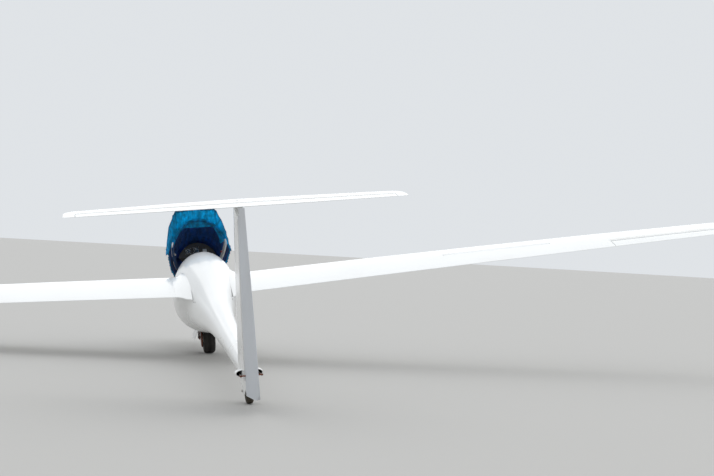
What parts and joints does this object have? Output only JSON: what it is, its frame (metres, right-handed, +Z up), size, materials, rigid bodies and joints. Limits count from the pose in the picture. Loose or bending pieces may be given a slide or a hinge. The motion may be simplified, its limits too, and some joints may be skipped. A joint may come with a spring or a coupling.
{
  "type": "sailplane glider",
  "caption": "Single-seat sailplane glider, parked on its wheels and left wing tip, with a cloth-covered canopy raised over an open cockpit, movable control surfaces and airbrakes.",
  "frame": {"origin": "centre of the bounding box's base, on the floor that the wheels and the left tip skid stand on", "axes": "+X towards the right wing tip, +Y towards the nose, +Z up; the glider is rolled 7.3 degrees onto its left wing tip"},
  "size_m": [14.8828, 6.7328, 1.9763],
  "materials": {
    "gelcoat": "gloss",
    "rudder_paint": "satin",
    "black_trim": "satin",
    "tyre_rubber": "matte",
    "skid_rubber": "matte",
    "bare_aluminium": "satin",
    "rusty_steel": "matte",
    "cover_cloth": "matte",
    "clear_plastic": "polished",
    "upholstery": "matte"
  },
  "bodies": {
    "airframe": {"fuselage": "gelcoat", "fin": "gelcoat", "tailplane": "gelcoat", "wing_left": "gelcoat", "wing_right": "gelcoat", "tip_skid_left": "skid_rubber", "tip_skid_right": "skid_rubber", "rudder_cable_fairing_left": "gelcoat", "rudder_cable_fairing_right": "gelcoat", "main_axle": "bare_aluminium", "gear_leg": "rusty_steel", "gear_door_left": "gelcoat", "gear_door_right": "gelcoat", "tail_axle": "bare_aluminium", "canopy_hinge_lug": "bare_aluminium", "seat_pan": "upholstery", "headrest": "upholstery", "control_stick": "black_trim", "rudder_pedals": "bare_aluminium", "nose_tow_hook": "bare_aluminium", "belly_tow_hook": "bare_aluminium"},
    "main_wheel": {"main_tyre": "tyre_rubber", "main_wheel_hub": "bare_aluminium", "brake_disc": "rusty_steel"},
    "tail_wheel": {"tail_tyre": "tyre_rubber", "tail_wheel_hub": "bare_aluminium"},
    "rudder": {"rudder": "rudder_paint", "rudder_horn": "rusty_steel"},
    "elevator": {"elevator": "gelcoat"},
    "aileron_left": {"aileron_left": "gelcoat"},
    "aileron_right": {"aileron_right": "gelcoat"},
    "airbrake_lower_left": {"airbrake_lower_left": "bare_aluminium"},
    "airbrake_upper_left": {"airbrake_upper_left": "bare_aluminium"},
    "airbrake_lower_right": {"airbrake_lower_right": "bare_aluminium"},
    "airbrake_upper_right": {"airbrake_upper_right": "bare_aluminium"},
    "canopy": {"canopy_frame": "gelcoat", "canopy_glass": "clear_plastic", "canopy_cover": "cover_cloth", "canopy_hinge_arm": "bare_aluminium", "panel_shroud": "black_trim", "instrument_panel": "black_trim", "glide_computer": "black_trim"}
  },
  "joints": [
    {"name": "main_wheel_spin", "type": "hinge", "parent": "airframe", "child": "main_wheel", "pos_m": [0.1057, 1.51645, 0.18007], "axis": [0.9919, 0, 0.1272], "continuous": true},
    {"name": "tail_wheel_spin", "type": "hinge", "parent": "airframe", "child": "tail_wheel", "pos_m": [0.11591, -2.68354, 0.10021], "axis": [0.9919, 0, 0.1272], "continuous": true},
    {"name": "rudder_hinge", "type": "hinge", "parent": "airframe", "child": "rudder", "pos_m": [0.11655, -2.95354, 0.09521], "axis": [-0.1269, -0.0658, 0.9897], "range_deg": [-31.5, 28.5]},
    {"name": "elevator_hinge", "type": "hinge", "parent": "airframe", "child": "elevator", "pos_m": [-0.06061, -2.92371, 1.47691], "axis": [0.9919, 0, 0.1272], "range_deg": [-22, 22]},
    {"name": "aileron_left_hinge", "type": "hinge", "parent": "airframe", "child": "aileron_left", "pos_m": [-4.29757, 0.85712, 0.3178], "axis": [0.9953, -0.0317, 0.0914], "range_deg": [-20, 20]},
    {"name": "aileron_right_hinge", "type": "hinge", "parent": "airframe", "child": "aileron_right", "pos_m": [4.33179, 0.85705, 1.42424], "axis": [-0.9862, -0.0317, -0.1627], "range_deg": [-20, 20]},
    {"name": "airbrake_lower_left_slide", "type": "slide", "parent": "airframe", "child": "airbrake_lower_left", "axis": [-0.0921, -0.1478, 0.9847], "range_m": [0, 0.05]},
    {"name": "airbrake_upper_left_slide", "type": "slide", "parent": "airbrake_lower_left", "child": "airbrake_upper_left", "axis": [-0.0921, -0.1478, 0.9847], "range_m": [0, 0.05]},
    {"name": "airbrake_lower_right_slide", "type": "slide", "parent": "airframe", "child": "airbrake_lower_right", "axis": [-0.1593, -0.1478, 0.9761], "range_m": [0, 0.05]},
    {"name": "airbrake_upper_right_slide", "type": "slide", "parent": "airbrake_lower_right", "child": "airbrake_upper_right", "axis": [-0.1593, -0.1478, 0.9761], "range_m": [0, 0.05]},
    {"name": "canopy_hinge", "type": "hinge", "parent": "airframe", "child": "canopy", "pos_m": [0.04312, 3.12639, 0.66826], "axis": [-0.9919, 0, -0.1272], "range_deg": [-18, 27]}
  ],
  "couplings": [
    {"joint": "aileron_right_hinge", "follows": "aileron_left_hinge", "ratio": 1},
    {"joint": "airbrake_upper_left_slide", "follows": "airbrake_lower_left_slide", "ratio": 1},
    {"joint": "airbrake_lower_right_slide", "follows": "airbrake_lower_left_slide", "ratio": 1},
    {"joint": "airbrake_upper_right_slide", "follows": "airbrake_lower_left_slide", "ratio": 1}
  ]
}
